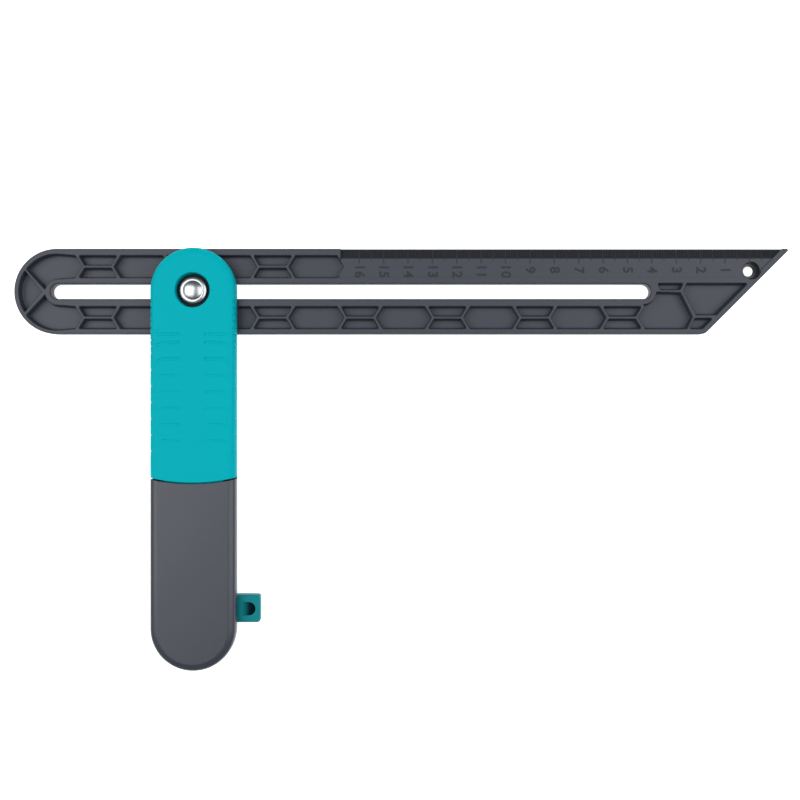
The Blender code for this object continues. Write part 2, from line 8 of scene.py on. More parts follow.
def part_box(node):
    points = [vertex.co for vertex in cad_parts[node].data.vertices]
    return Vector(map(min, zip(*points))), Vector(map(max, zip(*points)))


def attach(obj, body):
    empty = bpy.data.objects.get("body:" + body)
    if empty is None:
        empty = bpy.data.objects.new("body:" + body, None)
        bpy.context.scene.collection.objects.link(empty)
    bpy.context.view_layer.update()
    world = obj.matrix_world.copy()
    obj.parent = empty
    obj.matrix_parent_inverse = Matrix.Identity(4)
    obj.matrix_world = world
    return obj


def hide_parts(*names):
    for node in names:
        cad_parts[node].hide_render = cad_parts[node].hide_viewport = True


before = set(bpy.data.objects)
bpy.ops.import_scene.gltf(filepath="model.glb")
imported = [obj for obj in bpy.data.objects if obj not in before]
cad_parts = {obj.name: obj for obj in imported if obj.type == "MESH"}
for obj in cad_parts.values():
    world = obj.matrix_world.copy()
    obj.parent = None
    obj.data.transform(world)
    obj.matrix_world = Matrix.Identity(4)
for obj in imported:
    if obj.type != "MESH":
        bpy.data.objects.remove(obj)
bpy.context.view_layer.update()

# ---- Blade -------------------------------------------------------------------------------------------
# The blade is one grey moulding, round at its tail and cut at 45 degrees at its tip. A slot runs down its
# middle, and thin ribs split the rest of its front into pockets. Its scale edge is bevelled like a ruler's,
# and it is held only by the guide that rides in its slot.

MM = 0.001
blade_low, blade_high = (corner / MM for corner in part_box("blade"))
BLADE_HALF = blade_high.y
BLADE_TAIL = (blade_low.x + BLADE_HALF, 0.0)
BLADE_BACK, BLADE_FACE = blade_low.z, blade_high.z
TIP_SUM = 226.3
SLOT_HALF = 3.1
SLOT_ENDS = (-56.2, 183.6)
SLOT_BOSS = 5.4
POCKET_FLOOR = 8.0
RAIL_IN, RAIL_OUT = 5.9, 15.0
ROW_SHIFT = -0.3
RIB_Y = (RAIL_IN + RAIL_OUT) / 2
RIB_HALF = 0.6
POINT_DEPTH = 2.75
FIRST_POINT = -45.7
POINT_PERIOD = 35.8
POINT_PAIR = 11.7
SCALE_START = 61.5
SCALE_FLOOR = 11.2
SCALE_EDGE_Y = 13.5
SCALE_EDGE_DROP = 1.0
EDGE_LAND = 3.2
TIP_HOLE = (227.9, 8.7)
MITRE_LIMIT = 0.4
REAL_CORNER = math.radians(25)
BLADE_FRONT_EASE = 0.6
BLADE_BACK_EASE = 0.3
SLOT_EASE = 0.5
POCKET_EASE = 0.36
POCKET_CORNER = 0.5
POCKET_FOOT = 0.5
POCKET_DRAFT = 0.15


def arc(centre, radius, start, end, steps):
    """Points along an arc, in degrees, both ends included."""
    angles = [math.radians(start + (end - start) * step / steps) for step in range(steps + 1)]
    return [(centre[0] + radius * math.cos(a), centre[1] + radius * math.sin(a)) for a in angles]


def stadium(start, end, radius, steps=24):
    """The outline of a round-ended slot between two points."""
    along = math.degrees(math.atan2(end[1] - start[1], end[0] - start[0]))
    first = arc(end, radius, along - 90, along + 90, steps)
    return first + arc(start, radius, along + 90, along + 270, steps)


def counter_clockwise(points):
    """The same outline, turned round where it runs clockwise."""
    area = sum(a[0] * b[1] - b[0] * a[1] for a, b in zip(points, points[1:] + points[:1]))
    return points if area > 0 else points[::-1]


def offset(points, distance):
    """The outline moved outwards by a distance, point for point."""
    moved = []
    for before, here, after in zip(points[-1:] + points[:-1], points, points[1:] + points[:1]):
        first = Vector((here[1] - before[1], before[0] - here[0])).normalized()
        second = Vector((after[1] - here[1], here[0] - after[0])).normalized()
        middle = (first + second).normalized()
        reach = distance / max(middle.dot(first), MITRE_LIMIT)
        moved.append((here[0] + middle.x * reach, here[1] + middle.y * reach))
    return moved


def eased(points, radius, steps=4):
    """The outline with each real corner rounded off."""
    rounded = []
    for before, here, after in zip(points[-1:] + points[:-1], points, points[1:] + points[:1]):
        back = Vector(before) - Vector(here)
        ahead = Vector(after) - Vector(here)
        turn = math.pi - back.angle(ahead)
        if turn < REAL_CORNER:
            rounded.append(here)
            continue
        reach = min(radius * math.tan(turn / 2), 0.45 * back.length, 0.45 * ahead.length)
        start, end = (Vector(here) + leg.normalized() * reach for leg in (back, ahead))
        for step in range(steps + 1):
            t = step / steps
            point = start * (1 - t) ** 2 + Vector(here) * 2 * t * (1 - t) + end * t ** 2
            rounded.append((point.x, point.y))
    return rounded


def ring(working, points, height):
    """A ring of vertices at one height, or at a height for each point."""
    heights = height if isinstance(height, list) else [height] * len(points)
    return [working.verts.new((x * MM, y * MM, z * MM)) for (x, y), z in zip(points, heights)]


def skin(working, lower, upper):
    """Closes the band between two rings; their outline runs counter-clockwise round a solid."""
    for index, corner in enumerate(lower):
        following = (index + 1) % len(lower)
        working.faces.new((corner, lower[following], upper[following], upper[index]))


def cap(working, rings, up):
    """Fills a level face between an outer ring and the rings of its openings."""
    verts = [vert for one in rings for vert in one]
    faces = []
    for corners in geometry.tessellate_polygon([[vert.co for vert in one] for one in rings]):
        a, b, c = (verts[index] for index in corners)
        faces_up = (b.co - a.co).cross(c.co - a.co).z > 0
        faces.append(working.faces.new((a, b, c) if faces_up == up else (a, c, b)))
    edges = list(dict.fromkeys(edge for face in faces for edge in face.edges))
    bmesh.ops.beautify_fill(working, faces=faces, edges=edges, method="ANGLE")


def walls(working, outline, profile):
    """Rings of an outline stacked through a profile of (offset, height), skinned; returns the end rings."""
    rings = [ring(working, offset(outline, out), height) for out, height in profile]
    for lower, upper in zip(rings, rings[1:]):
        skin(working, lower, upper)
    return rings[0], rings[-1]


def rounding(out, height, radius, start, end, steps, inward=-1):
    """Profile points round an edge: the angle is 0 on the level face and 90 on the wall."""
    points = []
    for step in range(steps + 1):
        angle = math.radians(start + (end - start) * step / steps)
        points.append((out + inward * abs(radius) * (1 - math.sin(angle)),
                       height - radius * (1 - math.cos(angle))))
    return points


def solid_from(name, working):
    """Makes an object of a closed bmesh."""
    bmesh.ops.remove_doubles(working, verts=working.verts, dist=1e-7)
    bmesh.ops.recalc_face_normals(working, faces=working.faces)
    mesh = bpy.data.meshes.new(name)
    working.to_mesh(mesh)
    working.free()
    solid = bpy.data.objects.new(name, mesh)
    bpy.context.scene.collection.objects.link(solid)
    return solid


def block(name, outline, profile):
    """A solid with one outline, its edges shaped by a profile from its underside to its top."""
    working = bmesh.new()
    bottom, top = walls(working, outline, profile)
    cap(working, [bottom], False)
    cap(working, [top], True)
    return solid_from(name, working)


def apply_modifiers(solid):
    """Keeps the shape that the modifiers give and drops them."""
    bpy.context.view_layer.update()
    evaluated = solid.evaluated_get(bpy.context.evaluated_depsgraph_get())
    mesh = bpy.data.meshes.new_from_object(evaluated)
    solid.modifiers.clear()
    solid.data = mesh


def weld(solid):
    """Closes the hairline slivers that a cut can leave."""
    working = bmesh.new()
    working.from_mesh(solid.data)
    bmesh.ops.remove_doubles(working, verts=working.verts, dist=2e-6)
    bmesh.ops.dissolve_degenerate(working, edges=working.edges, dist=1e-6)
    working.to_mesh(solid.data)
    working.free()


def carve(solid, tools, operation="DIFFERENCE"):
    """Cuts the tools out of a solid, or joins them to it, and throws the tools away."""
    for tool in tools:
        step = solid.modifiers.new("carve", "BOOLEAN")
        step.operation = operation
        step.object = tool
        step.solver = "EXACT"
        apply_modifiers(solid)
        bpy.data.objects.remove(tool)
    weld(solid)


def turned(name, profile, steps=72):
    """A round solid about the pivot axis; its profile at +X runs top to bottom and closes itself."""
    working = bmesh.new()
    rings = []
    for radius, height in profile:
        if radius == 0:
            rings.append([working.verts.new((0.0, 0.0, height * MM))])
        else:
            rings.append(ring(working, arc((0.0, 0.0), radius, 0, 360, steps)[:-1], height))
    pairs = list(zip(rings, rings[1:]))
    if profile[0][0] > 0:
        pairs.append((rings[-1], rings[0]))
    for upper, lower in pairs:
        for index in range(steps):
            corners = [one[i % len(one)] for one, i in
                       ((lower, index), (lower, index + 1), (upper, index + 1), (upper, index))]
            unique = list(dict.fromkeys(corners))
            if len(unique) > 2:
                working.faces.new(unique)
    return solid_from(name, working)


def shade(solid, angle=38):
    """Smooth round surfaces, crisp edges, and level faces that stay flat."""
    solid.data.shade_smooth()
    solid.data.set_sharp_from_angle(angle=math.radians(angle))
    for face in solid.data.polygons:
        if abs(face.normal.z) > 0.99995:
            face.use_smooth = False


def row_pockets(side):
    """One row of pockets: long six-sided ones, with a pair of short ones between them."""
    periods = 3 if side > 0 else 6
    slant = RIB_HALF / math.cos(math.atan2(POINT_DEPTH, RIB_Y - RAIL_IN))
    lean = POINT_DEPTH * RIB_HALF / (RIB_Y - RAIL_IN)
    pockets = []
    for period in range(periods + 1):
        point = FIRST_POINT + period * POINT_PERIOD
        left, right = point + slant, point + POINT_PAIR - slant
        if period < periods or side < 0:
            for rail, step in ((RAIL_OUT, RIB_HALF), (RAIL_IN, -RIB_HALF)):
                pockets.append([(left - lean, RIB_Y + step), (right + lean, RIB_Y + step),
                                (right + POINT_DEPTH, rail), (left - POINT_DEPTH, rail)])
        if period < periods:
            start, end = point + POINT_PAIR + slant, point + POINT_PERIOD - slant
            pockets.append([(start + POINT_DEPTH, RAIL_IN), (end - POINT_DEPTH, RAIL_IN), (end, RIB_Y),
                            (end - POINT_DEPTH, RAIL_OUT), (start + POINT_DEPTH, RAIL_OUT), (start, RIB_Y)])
    return [[(x, side * y + ROW_SHIFT) for x, y in pocket] for pocket in pockets]


def tail_pockets():
    """The pockets above, below and behind the slot's tail end."""
    point = FIRST_POINT - 0.7
    outer = BLADE_HALF - 1.9
    upper = [(point - POINT_DEPTH, RAIL_IN), (point, RIB_Y), (point - POINT_DEPTH, RAIL_OUT)]
    upper += arc(BLADE_TAIL, outer, 90, 143, 12) + arc((SLOT_ENDS[0], 0.0), SLOT_BOSS, 168, 90, 10)
    behind = arc(BLADE_TAIL, outer, 147, 213, 14) + [(BLADE_TAIL[0] - 6.3, -0.1)]
    return [[(x, ROW_SHIFT + y) for x, y in upper], [(x, ROW_SHIFT - y) for x, y in upper], behind]


def nose_pockets():
    """The four unlike pockets between the slot and the slanted end."""
    inner = TIP_SUM - EDGE_LAND
    last = FIRST_POINT + 6 * POINT_PERIOD + POINT_PAIR + 0.7
    boss = arc((SLOT_ENDS[1], 0.0), SLOT_BOSS, 270, 357, 10)
    top_y, low_y = SLOT_HALF + 0.2, ROW_SHIFT - RAIL_OUT
    above_rib = [(190.5, 0.7), (198.6, 0.7), (200.0, top_y), (189.5, top_y)]
    big = [(last, ROW_SHIFT - RIB_Y), (last + POINT_DEPTH, ROW_SHIFT - RAIL_IN)] + boss
    big += [(198.9, -0.6), (203.8, -10.4), (201.4, low_y), (last + POINT_DEPTH, low_y)]
    right = [(201.4, top_y), (inner + top_y, top_y), (inner - 9.6, -9.6), (205.1, -9.6), (200.0, 0.2)]
    bottom = [(204.7, -11.0), (inner - 11.0, -11.0), (inner + low_y, low_y), (202.5, low_y)]
    return [above_rib, big, right, bottom]


def blade_outline():
    """Round at the tail, cut at 45 degrees at the tip, with both corners eased."""
    tip_radius, heel_radius = 0.6, 4.0
    tip_back = tip_radius / math.tan(math.radians(22.5))
    heel_back = heel_radius / math.tan(math.radians(67.5))
    tail = arc(BLADE_TAIL, BLADE_HALF, 90, 270, 72)
    heel = arc((TIP_SUM - BLADE_HALF - heel_back, heel_radius - BLADE_HALF), heel_radius, 270, 315, 10)
    tip = arc((TIP_SUM + BLADE_HALF - tip_back, BLADE_HALF - tip_radius), tip_radius, -45, 90, 12)
    return tail + heel + tip


def moulded_blade():
    """The blade with its slot and pockets, every edge eased as it leaves the mould."""
    foot = [(0.0, 1.0), (0.15, 0.5), (0.5, 0.15), (1.0, 0.0)]
    working = bmesh.new()
    outer = rounding(0, BLADE_BACK, -BLADE_BACK_EASE, 0, 90, 3)
    outer += rounding(0, BLADE_FACE, BLADE_FRONT_EASE, 90, 0, 5)
    bottom, top = walls(working, blade_outline(), outer)
    slot = stadium((SLOT_ENDS[0], 0.0), (SLOT_ENDS[1], 0.0), SLOT_HALF)
    slot_profile = rounding(0, BLADE_FACE, SLOT_EASE, 0, 90, 4, 1)
    slot_profile += rounding(0, BLADE_BACK, -POCKET_EASE, 90, 0, 3, 1)
    slot_top, slot_bottom = walls(working, slot, slot_profile)
    mouths = [slot_top]
    for pocket in row_pockets(1) + row_pockets(-1) + tail_pockets() + nose_pockets():
        outline = eased(counter_clockwise(pocket), POCKET_CORNER)
        profile = rounding(0, BLADE_FACE, POCKET_EASE, 0, 90, 3, 1)
        profile += [(-POCKET_DRAFT - POCKET_FOOT * out, POCKET_FLOOR + POCKET_FOOT * rise)
                    for out, rise in foot]
        mouth, floor = walls(working, outline, profile)
        cap(working, [floor], True)
        mouths.append(mouth)
    cap(working, [top] + mouths, True)
    cap(working, [bottom, slot_bottom], False)
    return solid_from("blade_moulding", working)


def scale_cutter():
    """The room above the scale's floor, its bevel and the eased edge past the bevel."""
    inner = TIP_SUM - EDGE_LAND
    edge_z = SCALE_FLOOR - SCALE_EDGE_DROP
    section = [(RAIL_IN + ROW_SHIFT, SCALE_FLOOR), (SCALE_EDGE_Y, SCALE_FLOOR),
               (BLADE_HALF - 0.35, edge_z + 0.12), (BLADE_HALF - 0.1, edge_z - 0.05),
               (BLADE_HALF, edge_z - 0.3), (BLADE_HALF + 1, edge_z - 0.3)]
    above = BLADE_FACE + 1.0

    def start(y):
        rib = RIB_Y + ROW_SHIFT
        slant = POINT_DEPTH * abs(y - rib) / (RIB_Y - RAIL_IN)
        return SCALE_START - (slant if y < rib else min(slant, 2.0))

    working = bmesh.new()
    ends = (start, lambda y: inner + y)
    grids = [[(end(y), y, z) for y, z in section] for end in ends]
    lids = [[(end(y), y, above) for y, z in section] for end in ends]
    floor = [[working.verts.new(Vector(p) * MM) for p in grid] for grid in grids]
    lid = [[working.verts.new(Vector(p) * MM) for p in grid] for grid in lids]
    for index in range(len(section) - 1):
        for level in (floor, lid):
            working.faces.new((level[0][index], level[1][index], level[1][index + 1], level[0][index + 1]))
        for under, over in zip(floor, lid):
            working.faces.new((under[index], under[index + 1], over[index + 1], over[index]))
    for index in (0, -1):
        working.faces.new((floor[0][index], floor[1][index], lid[1][index], lid[0][index]))
    return solid_from("scale_cutter", working)


def tip_hole_cutter():
    """The hanging hole: wide at the front, narrow at the back, with both mouths eased."""
    profile = [(0.0, BLADE_FACE + 1), (4.4, BLADE_FACE + 1), (3.55, SCALE_FLOOR), (3.3, SCALE_FLOOR - 0.3),
               (2.0, BLADE_BACK + 0.25), (2.3, BLADE_BACK - 0.05), (2.6, BLADE_BACK - 0.6),
               (0.0, BLADE_BACK - 0.6)]
    tool = turned("tip_hole_cutter", profile, 48)
    tool.location = (TIP_HOLE[0] * MM, TIP_HOLE[1] * MM, 0.0)
    return tool


def moulded_skin():
    """Node group for moulded plastic: slow shade drift, spark-eroded grain and faint rubbed streaks."""
    group = bpy.data.node_groups.new("moulded_skin", "ShaderNodeTree")
    sockets = (("Colour", "INPUT", "NodeSocketColor"), ("Rubbed Colour", "INPUT", "NodeSocketColor"),
               ("Drift", "INPUT", "NodeSocketFloat"), ("Rubbing", "INPUT", "NodeSocketFloat"),
               ("Roughness", "INPUT", "NodeSocketFloat"), ("Grain Size", "INPUT", "NodeSocketFloat"),
               ("Colour", "OUTPUT", "NodeSocketColor"), ("Roughness", "OUTPUT", "NodeSocketFloat"),
               ("Height", "OUTPUT", "NodeSocketFloat"))
    for name, way, kind in sockets:
        group.interface.new_socket(name=name, in_out=way, socket_type=kind)
    node, link = group.nodes.new, group.links.new
    given, out = node("NodeGroupInput"), node("NodeGroupOutput")
    place = node("ShaderNodeTexCoord")

    drift = node("ShaderNodeTexNoise")
    drift.inputs["Scale"].default_value = 28.0
    drift.inputs["Detail"].default_value = 4.0
    link(place.outputs["Object"], drift.inputs["Vector"])
    spread = node("ShaderNodeMath")
    spread.operation = "MULTIPLY_ADD"
    centred = node("ShaderNodeMath")
    centred.operation = "SUBTRACT"
    centred.inputs[1].default_value = 0.5
    link(drift.outputs["Fac"], centred.inputs[0])
    link(centred.outputs[0], spread.inputs[0])
    link(given.outputs["Drift"], spread.inputs[1])
    spread.inputs[2].default_value = 1.0
    tint = node("ShaderNodeVectorMath")
    tint.operation = "SCALE"
    link(given.outputs["Colour"], tint.inputs[0])
    link(spread.outputs[0], tint.inputs["Scale"])

    stretch = node("ShaderNodeMapping")
    stretch.inputs["Scale"].default_value = (260.0, 900.0, 900.0)
    stretch.inputs["Rotation"].default_value = (0.0, 0.0, 0.5)
    link(place.outputs["Object"], stretch.inputs["Vector"])
    streaks = node("ShaderNodeTexNoise")
    streaks.inputs["Scale"].default_value = 1.0
    streaks.inputs["Detail"].default_value = 3.0
    link(stretch.outputs[0], streaks.inputs["Vector"])
    mask = node("ShaderNodeMapRange")
    mask.inputs["From Min"].default_value = 0.60
    mask.inputs["From Max"].default_value = 0.78
    link(streaks.outputs["Fac"], mask.inputs["Value"])
    rubbed = node("ShaderNodeMath")
    rubbed.operation = "MULTIPLY"
    link(mask.outputs["Result"], rubbed.inputs[0])
    link(given.outputs["Rubbing"], rubbed.inputs[1])
    blend = node("ShaderNodeMix")
    blend.data_type = "RGBA"
    link(rubbed.outputs[0], blend.inputs["Factor"])
    link(tint.outputs[0], blend.inputs["A"])
    link(given.outputs["Rubbed Colour"], blend.inputs["B"])
    link(blend.outputs["Result"], out.inputs["Colour"])

    grain = node("ShaderNodeTexNoise")
    grain.inputs["Detail"].default_value = 2.0
    link(place.outputs["Object"], grain.inputs["Vector"])
    link(given.outputs["Grain Size"], grain.inputs["Scale"])
    link(grain.outputs["Fac"], out.inputs["Height"])
    dull = node("ShaderNodeMath")
    dull.operation = "MULTIPLY_ADD"
    link(rubbed.outputs[0], dull.inputs[0])
    dull.inputs[1].default_value = -0.12
    link(given.outputs["Roughness"], dull.inputs[2])
    vary = node("ShaderNodeMath")
    vary.operation = "MULTIPLY_ADD"
    link(centred.outputs[0], vary.inputs[0])
    vary.inputs[1].default_value = 0.10
    link(dull.outputs[0], vary.inputs[2])
    link(vary.outputs[0], out.inputs["Roughness"])
    return group


MOULDED_SKIN = moulded_skin()


def plastic(name, colour, rubbed, roughness, specular, drift=0.10, rubbing=0.25, grain=3200.0, bump=0.12):
    """A moulded plastic with its own colour, gloss and grain."""
    made = bpy.data.materials.new(name)
    made.use_nodes = True
    nodes, link = made.node_tree.nodes, made.node_tree.links.new
    shader = nodes["Principled BSDF"]
    shader.inputs["Specular IOR Level"].default_value = specular
    skin_node = nodes.new("ShaderNodeGroup")
    skin_node.node_tree = MOULDED_SKIN
    skin_node.inputs["Colour"].default_value = (*colour, 1.0)
    skin_node.inputs["Rubbed Colour"].default_value = (*rubbed, 1.0)
    skin_node.inputs["Drift"].default_value = drift
    skin_node.inputs["Rubbing"].default_value = rubbing
    skin_node.inputs["Roughness"].default_value = roughness
    skin_node.inputs["Grain Size"].default_value = grain
    raised = nodes.new("ShaderNodeBump")
    raised.inputs["Strength"].default_value = bump
    raised.inputs["Distance"].default_value = 0.00008
    link(skin_node.outputs["Colour"], shader.inputs["Base Color"])
    link(skin_node.outputs["Roughness"], shader.inputs["Roughness"])
    link(skin_node.outputs["Height"], raised.inputs["Height"])
    link(raised.outputs["Normal"], shader.inputs["Normal"])
    return made


BLADE_GREY = plastic("blade_grey", (0.043, 0.048, 0.066), (0.058, 0.063, 0.080), 0.45, 0.40)
# A darker grey that is painted shade, for the scale's bevel, the slot's walls and the hanging hole's wall.
WALL_SHADE_GREY = plastic("painted_wall_shade", (0.017, 0.019, 0.023), (0.028, 0.030, 0.036), 0.42, 0.25)

blade = moulded_blade()
carve(blade, [scale_cutter(), tip_hole_cutter()])
shade(blade)
blade.data.materials.append(BLADE_GREY)
blade.data.materials.append(WALL_SHADE_GREY)
# Faces of the scale's bevel, the slot's walls and the hanging hole's wall take the darker grey as painted
# shade.
for face in blade.data.polygons:
    middle = face.center / MM
    on_bevel = SCALE_EDGE_Y < middle.y < BLADE_HALF - 0.5 and SCALE_START < middle.x < TIP_SUM + 14
    in_slot = abs(middle.y) < SLOT_HALF + 0.1 and SLOT_ENDS[0] - 3.2 < middle.x < SLOT_ENDS[1] + 3.2
    in_hole = math.hypot(middle.x - TIP_HOLE[0], middle.y - TIP_HOLE[1]) < 3.6
    if on_bevel and 0.5 < face.normal.z < 0.9999 or (in_slot or in_hole) and abs(face.normal.z) < 0.7:
        face.material_index = 1
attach(blade, "blade")
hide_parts("blade")

# ---- Scale marks -------------------------------------------------------------------------------------
# The marks are part of the blade's mould: low ridges for the millimetres, half centimetres and centimetres,
# counted from the hanging hole, and a number beside each centimetre. They are a hair proud of the floor.

SCALE_ZERO = 227.2
LAST_NUMBER = 16
DIGIT_HEIGHT = 3.95
DIGIT_PITCH = 3.0
DIGIT_BOLDNESS = 0.17
DIGIT_SHARE_OF_SIZE = 0.72
NUMBER_MIDDLES = (8.8, 8.4)
MARK_HEIGHT = 0.06
MARK_ROOT = 0.3
PAST_ZERO = 5
CENTIMETRE_MARK = (11.5, 17.2, 0.42)
HALF_MARK = (12.6, 17.2, 0.34)
MILLIMETRE_MARK = (14.7, 17.1, 0.20)


def bevel_height(y):
    """The height of the scale's surface at a distance from the middle of the blade."""
    down = max(0.0, y - SCALE_EDGE_Y) / (BLADE_HALF - SCALE_EDGE_Y)
    return SCALE_FLOOR - SCALE_EDGE_DROP * down


def tick(working, x, start, end, width):
    """A low ridge across the scale, bent where the bevel begins."""
    stations = [start] + ([SCALE_EDGE_Y] if start < SCALE_EDGE_Y else []) + [end]
    rings = []
    for y in stations:
        left, right = x - width / 2, x + width / 2
        top = bevel_height(y) + MARK_HEIGHT
        root = top - MARK_ROOT
        corners = ((left, root), (right, root), (right, top), (left, top))
        rings.append([working.verts.new(Vector((cx, y, cz)) * MM) for cx, cz in corners])
    for near, far in zip(rings, rings[1:]):
        skin(working, near, far)
    working.faces.new(rings[0])
    working.faces.new(rings[-1][::-1])


def scale_ticks():
    """All the ridges, from half a centimetre past the zero to the far end of the scale."""
    working = bmesh.new()
    last = int(SCALE_ZERO - SCALE_START - 1.5)
    for millimetre in range(-PAST_ZERO, last + 1):
        if millimetre % 10 == 0:
            mark = CENTIMETRE_MARK
        elif millimetre % 5 == 0:
            mark = HALF_MARK
        else:
            mark = MILLIMETRE_MARK
        tick(working, SCALE_ZERO - millimetre, *mark)
    return solid_from("scale_ticks", working)


def digit(character, x, y):
    """One number character, lying on the floor of the scale with its top towards the tip."""
    font = bpy.data.curves.new("digit", "FONT")
    font.body = character
    font.align_x = "CENTER"
    font.align_y = "CENTER"
    font.size = DIGIT_HEIGHT / DIGIT_SHARE_OF_SIZE * MM
    font.extrude = MARK_HEIGHT / 2 * MM
    font.offset = DIGIT_BOLDNESS * MM
    font.resolution_u = 4
    written = bpy.data.objects.new("digit", font)
    bpy.context.scene.collection.objects.link(written)
    bpy.context.view_layer.update()
    mesh = bpy.data.meshes.new_from_object(written.evaluated_get(bpy.context.evaluated_depsgraph_get()))
    bpy.data.objects.remove(written)
    turn = Matrix.Rotation(math.radians(-90), 4, "Z")
    rise = (SCALE_FLOOR + MARK_HEIGHT / 2) * MM
    mesh.transform(Matrix.Translation((x * MM, y * MM, rise)) @ turn)
    return mesh


def scale_numbers():
    """The numbers beside the centimetre marks."""
    working = bmesh.new()
    for number in range(1, LAST_NUMBER + 1):
        characters = str(number)
        middle = NUMBER_MIDDLES[len(characters) - 1]
        for place, character in enumerate(characters):
            y = middle + (len(characters) - 1 - 2 * place) * DIGIT_PITCH / 2
            working.from_mesh(digit(character, SCALE_ZERO - 10 * number, y))
    bmesh.ops.remove_doubles(working, verts=working.verts, dist=2e-6)
    return solid_from("scale_numbers", working)


MARK_GREY = plastic("mark_grey", (0.028, 0.031, 0.040), (0.036, 0.039, 0.048), 0.5, 0.25, grain=5000.0)
for marks in (scale_ticks(), scale_numbers()):
    marks.data.materials.append(MARK_GREY)
    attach(marks, "blade")

# ---- Teal cheeks -------------------------------------------------------------------------------------
# Two teal mouldings make the upper half of the stock, one each side of the blade. Each has a well at the
# pivot, shallow finger grooves on its face and notches down its sides, and a tongue that is trapped under
# the grey cover below it.

cheek_low, cheek_high = (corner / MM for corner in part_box("front_cheek"))
STOCK_HALF = cheek_high.x
STOCK_END = (0.0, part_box("front_cover")[0].y / MM + STOCK_HALF)
STOCK_FACE = cheek_high.z
FRONT_INNER = cheek_low.z
RIM_DEPTH = 2.6
RIM = ((0.0, RIM_DEPTH), (0.03, 2.2), (0.12, 1.75), (0.3, 1.32), (0.58, 0.96), (0.95, 0.68), (1.4, 0.45),
       (1.9, 0.26), (2.4, 0.11), (2.75, 0.03), (3.05, 0.0))
SIDE_LEAN = 0.16
CHEEK_END = 77.8
COVER_START = 78.5
SCREW_PLACES = ((-7.0, -88.0), (7.0, -88.0), (-7.0, -145.0), (7.0, -145.0))
WELL_RADIUS = 7.0
WELL_FLOOR = 14.6
BORE_RADIUS = 2.0
SEAT_RADIUS = 9.3
GROOVE_RADIUS = 0.9
GROOVE_ROWS, DEEP_ROWS = 8, 3
DEEP_GROOVE, SHALLOW_GROOVE = 0.32, 0.15
GROOVE_TOP_Y, FIRST_GROOVE_STEP, GROOVE_STEP = -17.9, 3.4, 6.6
GROOVE_INNER_X, GROOVE_BEND_X = 4.9, 12.0
GROOVE_DROOP, DROOP_RUN = 3.0, 5.0
NOTCH_RADIUS = 0.8
NOTCH_ROWS = [-4.6 - 2.6 * count for count in range(9)] + [-32.3 - 6.6 * count for count in range(6)]
TONGUE_HALF, TONGUE_END, TONGUE_ROOT, TONGUE_THICKNESS = 12.2, -95.0, -70.0, 2.8
BOSS_RADIUS, BOSS_HOLE_RADIUS = 3.2, 3.5
BAR_ROOM_FLOOR = 2.9
BAR_ROOM_HALF = 3.3


def stock_half(name):
    """The long round-ended front half of the stock, its face rim well rounded."""
    outline = stadium(STOCK_END, (0.0, 0.0), STOCK_HALF, 56)
    profile = rounding(0, FRONT_INNER, -0.2, 0, 90, 2)
    profile += [(-out, STOCK_FACE - drop) for out, drop in RIM]
    return block(name, outline, profile)


def beyond(radius, below):
    """Everything below, or above, an arc centred on the pivot."""
    reach = 30.0
    half = math.degrees(math.asin(reach / radius))
    edge = arc((0.0, 0.0), radius, 270 - half, 270 + half, 60)
    far = -170.0 if below else 40.0
    outline = counter_clockwise(edge + [(reach, far), (-reach, far)])
    return block("seam_cutter", outline, [(0, -5.0), (0, 25.0)])


def ease_seam(solid, radius, width=0.45):
    """Softens the edge that the seam leaves on the outer surface."""
    working = bmesh.new()
    working.from_mesh(solid.data)
    weight = working.edges.layers.float.new("bevel_weight_edge")
    for edge in working.edges:
        at_seam = all(abs(vert.co.xy.length / MM - radius) < 0.05 and vert.co.y < 0 for vert in edge.verts)
        tops = [vert.co.z / MM for vert in edge.verts]
        across = edge.verts[0].co.xy - edge.verts[1].co.xy
        if at_seam and min(tops) > FRONT_INNER + 0.5 and (across.length / MM > 0.01 or max(tops) > 15):
            edge[weight] = 1.0
    working.to_mesh(solid.data)
    working.free()
    bevel = solid.modifiers.new("seam", "BEVEL")
    bevel.limit_method = "WEIGHT"
    bevel.width = width * MM
    bevel.segments = 3
    apply_modifiers(solid)


def groove(points, radius):
    """A round bar through points in space, used to press a finger groove."""
    curve = bpy.data.curves.new("groove", "CURVE")
    curve.dimensions = "3D"
    curve.bevel_depth = radius * MM
    curve.bevel_resolution = 4
    curve.use_fill_caps = True
    spline = curve.splines.new("POLY")
    spline.points.add(len(points) - 1)
    for point, place in zip(spline.points, points):
        point.co = (*(Vector(place) * MM), 1.0)
    drawn = bpy.data.objects.new("groove", curve)
    bpy.context.scene.collection.objects.link(drawn)
    bpy.context.view_layer.update()
    mesh = bpy.data.meshes.new_from_object(drawn.evaluated_get(bpy.context.evaluated_depsgraph_get()))
    bpy.data.objects.remove(drawn)
    working = bmesh.new()
    working.from_mesh(mesh)
    bmesh.ops.remove_doubles(working, verts=working.verts, dist=1e-6)
    return solid_from("groove", working)


def finger_grooves():
    """Pairs of grooves on the face, open to the sides, which droop towards the edge."""
    tools = []
    for row in range(GROOVE_ROWS):
        height = STOCK_FACE + GROOVE_RADIUS - (DEEP_GROOVE if row < DEEP_ROWS else SHALLOW_GROOVE)
        y = GROOVE_TOP_Y - FIRST_GROOVE_STEP * min(row, 1) - GROOVE_STEP * max(row - 1, 0)
        droop = 0.0 if row == 0 else GROOVE_DROOP
        for side in (-1, 1):
            inner, bend, outer = GROOVE_INNER_X * side, GROOVE_BEND_X * side, (STOCK_HALF + 2.0) * side
            fall = droop * (abs(outer) - abs(bend)) / DROOP_RUN
            points = [(inner, y, height), (bend, y, height), (outer, y - fall, height)]
            tools.append(groove(points, GROOVE_RADIUS))
    return tools


